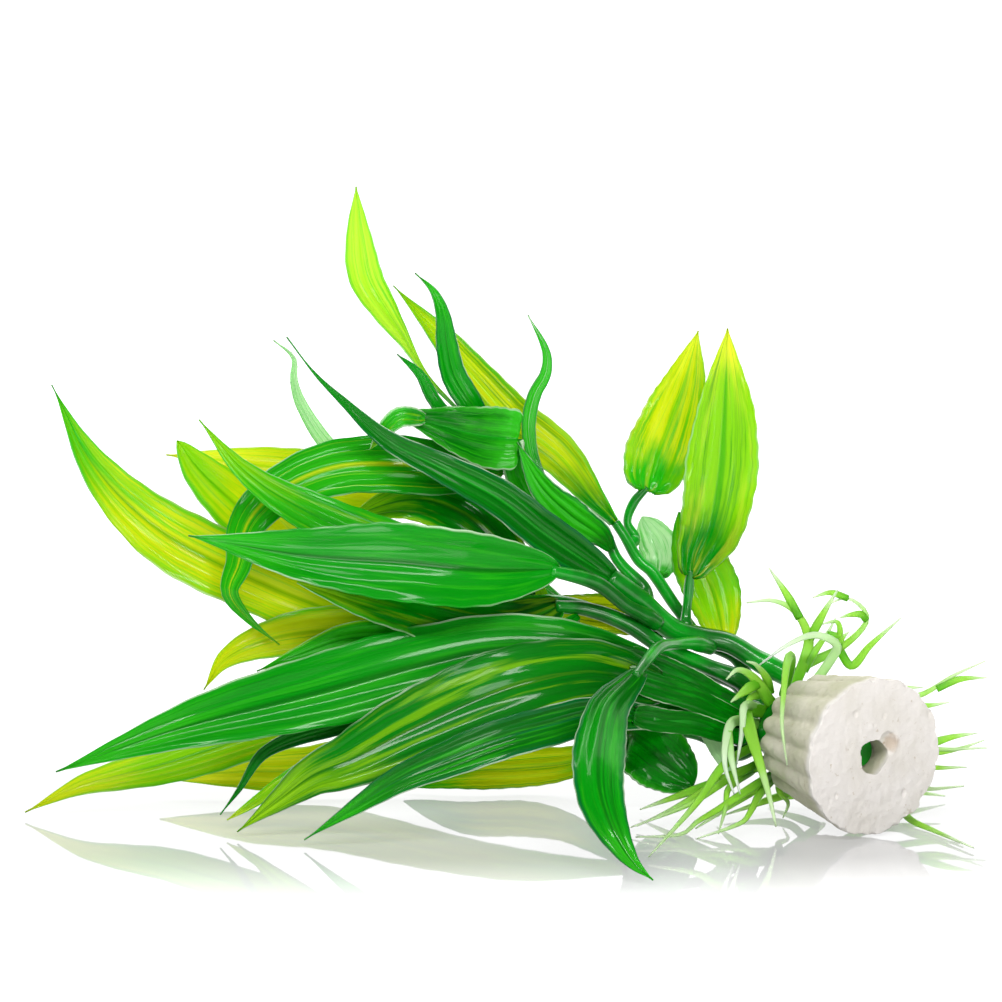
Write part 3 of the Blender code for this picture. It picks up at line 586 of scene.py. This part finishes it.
def leaf_plastic(name, colours, clear, seed):
    """Translucent leaf plastic: moulded colour, sprayed midrib, rim and base, parallel veins."""
    base, middle, tip, midrib, rim = colours
    made, shader, f = new_material(name)
    at = f.node("ShaderNodeUVMap", {}, {})
    length = f.node("ShaderNodeSeparateXYZ", {}, {0: at})
    across = f.node("ShaderNodeSeparateXYZ", {}, {0: at}, output=1) * 2.0 - 1.0
    out = abs(across)
    cloud = f.noise(f.vector(length * 2.4, across * 0.9, seed), 1.7, 3.0)
    bent = across + (cloud - 0.5) * 0.10
    streak = f.noise(f.vector(length * 0.9, bent * 5.0, seed + 4.0), 1.6, 4.0, 0.65)
    vein = f.noise(f.vector(length * 0.5, bent * 15.0, seed + 9.0), 1.2, 2.0, 0.5)
    fine = f.noise(f.vector(length * 4.0, bent * 60.0, seed + 2.0), 1.2, 2.0)
    shifted = length + (cloud - 0.5) * 0.5 + (streak - 0.5) * 0.4
    colour = shifted.ramp(0.06, 0.34).blend(base, middle)
    colour = shifted.ramp(0.64, 0.98).blend(colour, tip)
    streaked = (streak + (vein - 0.5) * 0.4).ramp(0.48, 0.68) * 0.7
    colour = streaked.blend(colour, base)
    colour = (vein.ramp(0.56, 0.70) * 0.35).blend(colour, midrib)
    # lighter patches of the tip colour: partly mottling of the plastic, partly a painted glow where light
    # comes through the leaf
    mottle_and_glow = f.noise(f.vector(length * 1.6, bent * 2.2, seed + 6.0), 2.2, 3.0)
    colour = ((mottle_and_glow + (fine - 0.5) * 0.15).ramp(0.52, 0.66) * 0.45).blend(colour, tip)
    colour = ((1.0 - (out + (streak - 0.5) * 0.2).ramp(0.02, 0.13)) * 0.8).blend(colour, midrib)
    colour = ((out + (cloud - 0.5) * 0.3 + (vein - 0.5) * 0.2).ramp(0.74, 0.96) * 0.85).blend(colour, rim)
    # a pale line along the very edge: partly thin moulding flash, partly a painted glow and glint of light at
    # the thin rim
    edge_flash_and_glow = (out + (fine - 0.5) * 0.05).ramp(0.93, 0.985) * cloud.ramp(0.40, 0.62)
    colour = (edge_flash_and_glow * 0.75).blend(colour, PALE)
    feed(shader, "Base Color", colour)
    feed(shader, "Roughness", 0.24 + fine * 0.16)
    relief = vein * 0.7 + fine * 0.3
    raised = f.node("ShaderNodeBump", {}, {"Strength": 0.32, "Distance": 0.0006, "Height": relief})
    feed(shader, "Normal", raised)
    shader.inputs["Specular IOR Level"].default_value = 0.06
    shader.inputs["Coat Weight"].default_value = 0.36
    shader.inputs["Coat Roughness"].default_value = 0.10
    near_stalk = f.node("ShaderNodeBsdfTranslucent", {}, {"Color": (*base, 1.0)})
    half_way = f.node("ShaderNodeBsdfTranslucent", {}, {"Color": (*middle, 1.0)})
    near_tip = f.node("ShaderNodeBsdfTranslucent", {}, {"Color": (*tip, 1.0)})
    through = f.node("ShaderNodeMixShader", {}, {0: shifted.ramp(0.06, 0.34), 1: near_stalk, 2: half_way})
    through = f.node("ShaderNodeMixShader", {}, {0: shifted.ramp(0.64, 0.98), 1: through, 2: near_tip})
    through = f.node("ShaderNodeMixShader", {}, {0: streaked, 1: through, 2: near_stalk})
    share = clear * (1.0 - 0.5 * vein.ramp(0.5, 0.7))
    both = f.node("ShaderNodeMixShader", {}, {0: share, 1: Field(f.tree, shader.outputs[0]), 2: through})
    output = f.tree.nodes["Material Output"]
    f.tree.links.new(both.socket, output.inputs["Surface"])
    return made


def leaf_spread(share, shape):
    """Half width of a leaf at a share of its length, as a share of its widest half."""
    widest, lead, trail, foot = shape
    if share < widest:
        rise = share / widest
        return foot + (1.0 - foot) * (rise * (2.0 - rise)) ** lead
    fall = (1.0 - share) / (1.0 - widest)
    return max((fall * (2.0 - fall)) ** trail, 0.015)


def leaf_blade(name, route, width, shape, fold, wave, face, tip_face, seed):
    """A flat grid laid along its route, veined, folded and waved, then given its thickness."""
    bare_selection()
    bpy.ops.mesh.primitive_grid_add(x_subdivisions=LEAF_ROWS, y_subdivisions=LEAF_COLUMNS, size=1.0)
    blade = bpy.context.object
    blade.name = name
    body = blade.vertex_groups.new(name="body")
    for vertex in blade.data.vertices:
        share = min(max(vertex.co.x + 0.5, 0.0), 1.0)
        across = 2.0 * vertex.co.y
        place, heading = along(route, share)
        facing = Vector(face).lerp(Vector(tip_face), share)
        side = facing.cross(heading).normalized()
        up = heading.cross(side)
        half = max(0.5 * width * leaf_spread(share, shape), 0.15)
        crease = (across * across + 0.012) ** 0.5 - 0.11
        vein = VEIN_HEIGHT * cos((across + 0.06 * sin(4.0 * share + seed)) * VEINS * pi)
        vein *= (1.0 - across ** 6) * min(half / 4.0, 1.0)
        ripple = wave * across * abs(across) * sin(2.0 * pi * (2.3 * share) + seed + across) * sin(pi * share)
        nibble = 1.0 + 0.03 * sin(31.0 * share + seed) * sin(53.0 * share + 2.0 * seed) * abs(across)
        lift = fold * crease * half - vein * 0.5 + ripple * min(half / 4.0, 1.0)
        vertex.co = placed(place + side * across * half * nibble + up * lift)
        stalk = exp(-((share / 0.05) ** 2))
        midrib = exp(-((across / 0.16) ** 2))
        body.add([vertex.index], min(0.16 + 0.2 * midrib + 0.64 * stalk, 1.0), "REPLACE")
    finish_with(blade, "SOLIDIFY", thickness=LEAF_THICKNESS * MM, offset=0.0, vertex_group="body",
                use_even_offset=False)
    bpy.ops.object.shade_smooth()
    return blade


for number, row in enumerate(LEAVES + STRAPS):
    name, colours, clear, width, shape, fold, wave, face, tip_face, route = row
    leaf = leaf_blade(name.replace("leaf", "blade"), route, width, shape, fold, wave, face, tip_face,
                      1.7 * number)
    leaf.data.materials.clear()
    leaf.data.materials.append(leaf_plastic(name + "_plastic", colours, clear, 3.1 * number))
    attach(leaf, "root")
    if row in LEAVES:
        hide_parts(name)


# ---------------------------------------------------------------------------
# The grass: sprigs of narrow forked blades in light green plastic, a collar of
# them pushed over the hub. The blades thin out to milky, nearly clear tips.
# ---------------------------------------------------------------------------
# node, then blades of (width, route)
GRASS = (
    ("grass_top_fork",
     (2.4, ((62.5, 29, 26), (66, 36, 32), (67, 38, 37), (64, 38, 43), (59, 38, 45.5), (53, 38, 45))),
     (1.8, ((65, 38, 41.5), (62, 38, 47), (58, 38, 53))),
     (1.9, ((66.9, 38, 36), (70, 38, 42), (73.5, 38, 48))),
     (1.6, ((66, 35, 30), (68.4, 37, 34), (71.5, 38, 38.4), (73, 38, 41.5))),
     (1.3, ((71.2, 38, 38), (73.9, 38, 37.6), (73.4, 38, 40.6), (69.5, 38, 40)))),
    ("grass_top_curl",
     (2.0, ((62, 33, 23), (65, 40, 29), (75, 43, 34), (80, 43, 39), (80, 43, 42), (76, 43, 45),
            (71, 43, 43.5))),
     (1.8, ((74, 43, 33.6), (77, 43, 29.5), (81, 43, 34), (88, 43, 40.5))),
     (1.5, ((74, 43, 33.3), (74.6, 43, 35.5), (76.4, 43, 37.4))),
     (1.5, ((80.3, 43, 40), (79, 42.5, 41.4), (76.5, 42, 41.4), (74.1, 42, 40.7))),
     (1.4, ((76, 43, 45), (72, 42, 46.5), (68, 41, 45.6)))),
    ("grass_top_arch",
     (2.0, ((66, 29, 26), (71, 30.5, 32.5), (73, 30, 37), (68, 29, 39.5), (62, 28, 37.5), (55.5, 27, 33)))),
    ("grass_left_fork",
     (2.6, ((59, 25, 24), (57.5, 23.5, 26), (54, 21.5, 31.5), (50.5, 20, 33.5), (48, 19, 31.5))),
     (2.3, ((55, 22, 30), (52.5, 20, 29), (49, 18.5, 26.5))),
     (1.8, ((56, 24, 27), (53.5, 21, 27), (51.9, 19, 24.6))),
     (1.9, ((58, 26, 27), (57, 23, 31), (54.5, 21, 34.5), (52.5, 20, 35.4)))),
    ("grass_hanging_long",
     (2.9, ((57, 24.5, 23), (52.5, 19, 24.5), (53, 14, 21.5), (54.5, 8, 17), (57, 2, 9), (58.5, 0, 2.5)))),
    ("grass_hanging_short",
     (1.9, ((61, 28, 26), (62.5, 23, 34), (62, 17, 37.5), (61, 11, 36.5), (60, 3, 31.5), (59.5, -3, 26),
            (60.5, -7, 18)))),
    ("grass_pale",
     (2.2, ((56, 25, 20), (50, 19.5, 22), (48, 14, 20), (47.5, 10, 14), (49.5, 8, 8))),
     (1.6, ((48.4, 15, 20.6), (49, 11, 15), (50.8, 8, 8))),
     (1.9, ((55.5, 24, 24), (51.9, 16, 26), (51.4, 14, 21), (50.2, 12, 13.8)))),
    ("grass_low_left",
     (2.3, ((59, 28, 11), (48, 19, 9), (41, 14, 6), (35, 10, 3.6), (28, 7, 1))),
     (1.9, ((47, 18, 8.8), (38, 20, 5), (29, 22, 1.2))),
     (1.9, ((57, 26, 16), (47.7, 12, 14), (41.1, 0, 8), (30.1, -21.5, 1.0))),
     (1.7, ((58, 27, 12), (48.5, 15, 9.8), (40, 9, 5.6), (26.6, 4, 1.4))),
     (1.6, ((54, 24, 9.5), (48.4, 12, 8.3), (47.5, 6, 5.2), (45.8, -2, 1.5)))),
    ("grass_low_middle",
     (2.3, ((62, 28, 10), (54, 16, 7), (47, 9, 4), (41, 4, 1.2))),
     (1.8, ((53, 15, 6.7), (49, 16, 4), (46, 15, 1.2))),
     (1.8, ((60, 27, 9), (54.6, 14, 8.8), (46.2, 6, 5.2), (41.1, 0, 3.6), (37.6, -4, 1.8), (27.5, -6, 1.6))),
     (1.7, ((60, 26, 8.5), (55.2, 13, 6.6), (53.4, 7, 4.8), (51, 2, 3), (41.1, -6, 1.3)))),
    ("grass_low_right",
     (2.0, ((62, 29, 10), (68, 33, 6.5), (70, 28, 3.6), (69, 18, 1.4))),
     (1.8, ((69.5, 30, 4.6), (65, 30, 2.8), (58, 32, 1))),
     (1.7, ((66, 30, 7), (62.9, 28, 3.9), (57.9, 26, 2.5), (47.7, 17, 1.1))),
     (1.5, ((60.5, 25, 9), (60, 20, 6), (61.8, 16, 4), (60.6, 14, 1.2)))),
    ("grass_right_high",
     (1.9, ((66, 30, 24), (76, 36, 24.5), (84, 38, 23.5), (92, 39, 23.5), (100, 40, 28), (107, 41, 31))),
     (1.6, ((96, 39.4, 25), (101, 40, 27), (107.3, 40, 27.4))),
     (1.6, ((80, 37, 24), (87, 38, 25.4), (93, 38, 25.6))),
     (1.5, ((88, 38.5, 23.2), (93, 40, 21), (99, 41, 21.5)))),
    ("grass_right_middle",
     (2.0, ((68, 30, 19), (78, 36, 16), (86, 35, 13.5), (95, 33, 12.5), (107, 32, 13))),
     (1.7, ((92, 33.3, 12.8), (99, 34, 15), (105, 34, 16))),
     (1.6, ((84, 35, 14), (94.6, 33, 11.8), (100, 33, 12.4), (106.5, 33, 14.6))),
     (1.5, ((86, 34, 10), (94.2, 32, 8.6), (102.4, 31, 8.8)))),
    ("grass_right_low",
     (1.9, ((67, 30, 14), (77, 35, 8), (84, 33, 5.5), (92, 26, 5), (101, 20, 7))),
     (1.7, ((79, 34.6, 7), (88, 34.5, 3), (98, 36, 1))),
     (1.5, ((82, 33, 6), (90, 31, 4.6), (96.6, 30, 4.0))),
     (1.6, ((80, 30, 5), (86, 20, 2.6), (89, 10, 1.5), (93, 3, 1.1), (101, -13, 0.9)))),
)
GRASS_THICKNESS = 1.3
MILKY_SPRIGS = ("grass_top_arch", "grass_pale")


def grass_plastic(name, near, far, milky):
    """Light green plastic that fades to milky tips."""
    made, shader, f = new_material(name)
    at = f.node("ShaderNodeUVMap", {}, {})
    parts = f.node("ShaderNodeSeparateXYZ", {}, {0: at})
    place = f.node("ShaderNodeTexCoord", {}, {}, output="Object")
    cloud = f.noise(place, 120.0, 2.0)
    fine = f.noise(place, 1500.0, 2.0)
    length = parts + (cloud - 0.5) * 0.4
    colour = length.ramp(0.0, 0.6).blend(near, far)
    colour = length.ramp(0.55, 1.0).blend(colour, milky)
    feed(shader, "Base Color", colour)
    feed(shader, "Roughness", 0.3 + fine * 0.2)
    feed(shader, "Normal", f.node("ShaderNodeBump", {}, {"Strength": 0.15, "Distance": 0.0002,
                                                        "Height": fine}))
    shader.inputs["Transmission Weight"].default_value = 0.4
    shader.inputs["IOR"].default_value = 1.3
    return made


FRESH = grass_plastic("grass_plastic", (0.12, 0.50, 0.01), (0.34, 0.72, 0.06), (0.72, 0.88, 0.58))
MILKY = grass_plastic("grass_plastic_milky", (0.30, 0.70, 0.10), (0.66, 0.86, 0.52), (0.86, 0.92, 0.86))
for name, *blades in GRASS:
    strips = []
    for width, route in blades:
        bare_selection()
        bpy.ops.mesh.primitive_grid_add(x_subdivisions=26, y_subdivisions=4, size=1.0)
        strip = bpy.context.object
        body = strip.vertex_groups.new(name="body")
        for vertex in strip.data.vertices:
            share = min(max(vertex.co.x + 0.5, 0.0), 1.0)
            across = 2.0 * vertex.co.y
            place, heading = along(route, share)
            side = Vector((0, -1, 0.1)).cross(heading).normalized()
            up = heading.cross(side)
            half = 0.5 * width * (1.0 - 0.88 * max(share - 0.35, 0.0) / 0.65)
            vertex.co = placed(place + side * across * half + up * 0.25 * half * across * across)
            body.add([vertex.index], (1.0 - 0.6 * abs(across)) * (1.0 - 0.6 * share), "REPLACE")
        finish_with(strip, "SOLIDIFY", thickness=GRASS_THICKNESS * MM, offset=0.0, vertex_group="body",
                    thickness_vertex_group=0.1, use_even_offset=False)
        strips.append(strip)
    pick(strips[0])
    for strip in strips[1:]:
        strip.select_set(True)
    if len(strips) > 1:
        bpy.ops.object.join()
    sprig = bpy.context.object
    sprig.name = name.replace("grass", "sprig")
    bpy.ops.object.shade_smooth()
    sprig.data.materials.clear()
    sprig.data.materials.append(MILKY if name in MILKY_SPRIGS else FRESH)
    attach(sprig, "root")
    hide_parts(name)


# ---------------------------------------------------------------------------
# The set: a sheet of glossy white acrylic, lit from below except round the plant,
# before a glowing white backdrop. Two soft boxes light the plant from the front
# and one from behind.
# ---------------------------------------------------------------------------
bare_selection()
bpy.ops.mesh.primitive_plane_add(size=8.0, location=(0, -1.5, 0))
table = bpy.context.object
table.name = "white_table"
bpy.ops.object.transform_apply(location=True, rotation=True, scale=True)
white, shader, f = new_material("white_acrylic")
at = f.node("ShaderNodeTexCoord", {}, {}, output="Object")
deep = f.node("ShaderNodeSeparateXYZ", {}, {0: at}, output=1)
aside = abs(f.node("ShaderNodeSeparateXYZ", {}, {0: at}))
shader.inputs["Base Color"].default_value = (0.26, 0.26, 0.26, 1.0)
shader.inputs["Roughness"].default_value = 0.03
shader.inputs["IOR"].default_value = 1.75
shader.inputs["Emission Strength"].default_value = 1.0
front = 1.0 - deep.ramp(-0.085, -0.020)
glow = 0.32 + front * 0.70 + deep.ramp(0.04, 0.09) * 0.4 + aside.ramp(0.10, 0.16) * 0.65
feed(shader, "Emission Color", f.vector(glow, glow, glow))
table.data.materials.append(white)

bpy.ops.mesh.primitive_plane_add(size=8.0, location=(0, 2.4, 4.0), rotation=(radians(90), 0, 0))
backdrop = bpy.context.object
backdrop.name = "white_backdrop"
bpy.ops.object.transform_apply(location=True, rotation=True, scale=True)
glowing, shader, f = new_material("lit_backdrop")
shader.inputs["Base Color"].default_value = (0.0, 0.0, 0.0, 1.0)
shader.inputs["Emission Color"].default_value = (1.0, 1.0, 1.0, 1.0)
shader.inputs["Emission Strength"].default_value = 1.5
backdrop.data.materials.append(glowing)

world = bpy.data.worlds.new("dim_studio")
bpy.context.scene.world = world
world.use_nodes = True
world.node_tree.nodes["Background"].inputs["Color"].default_value = (1.0, 1.0, 1.0, 1.0)
world.node_tree.nodes["Background"].inputs["Strength"].default_value = 0.14
bpy.context.scene.view_settings.view_transform = "Standard"


def soft_box(name, at, size, power):
    """A soft box, wide and low, that looks at the plant's middle."""
    lamp = bpy.data.lights.new(name, "AREA")
    lamp.shape = "RECTANGLE"
    lamp.size, lamp.size_y = size
    lamp.energy = power
    box = bpy.data.objects.new(name, lamp)
    box.location = at
    box.rotation_euler = (Vector((0, 0, 0.05)) - Vector(at)).to_track_quat("-Z", "Y").to_euler()
    bpy.context.scene.collection.objects.link(box)


soft_box("strip_box", (-0.05, -0.75, 0.80), (1.3, 0.11), 13.0)
soft_box("front_box", (0.55, -1.25, 0.30), (0.35, 0.35), 4.5)
soft_box("back_box", (-0.10, 0.36, 0.60), (1.0, 0.15), 3.0)

# the camera: level with the table's edge, a little above it and square to the plant's length
TILT = radians(10.7)
REACH = 1.5
VIEW_WIDTH = 0.2204
VIEW_MIDDLE = 0.0741
ahead = Vector((0, cos(TILT), -sin(TILT)))
rise = Vector((0, sin(TILT), cos(TILT)))
lens = bpy.data.cameras.new("camera")
lens.sensor_width = 36.0
lens.lens = lens.sensor_width * REACH / VIEW_WIDTH
camera = bpy.data.objects.new("camera", lens)
camera.location = placed((-2.0, 0, 0)) + rise * VIEW_MIDDLE - ahead * REACH
camera.rotation_euler = ahead.to_track_quat("-Z", "Y").to_euler()
bpy.context.scene.collection.objects.link(camera)
bpy.context.scene.camera = camera
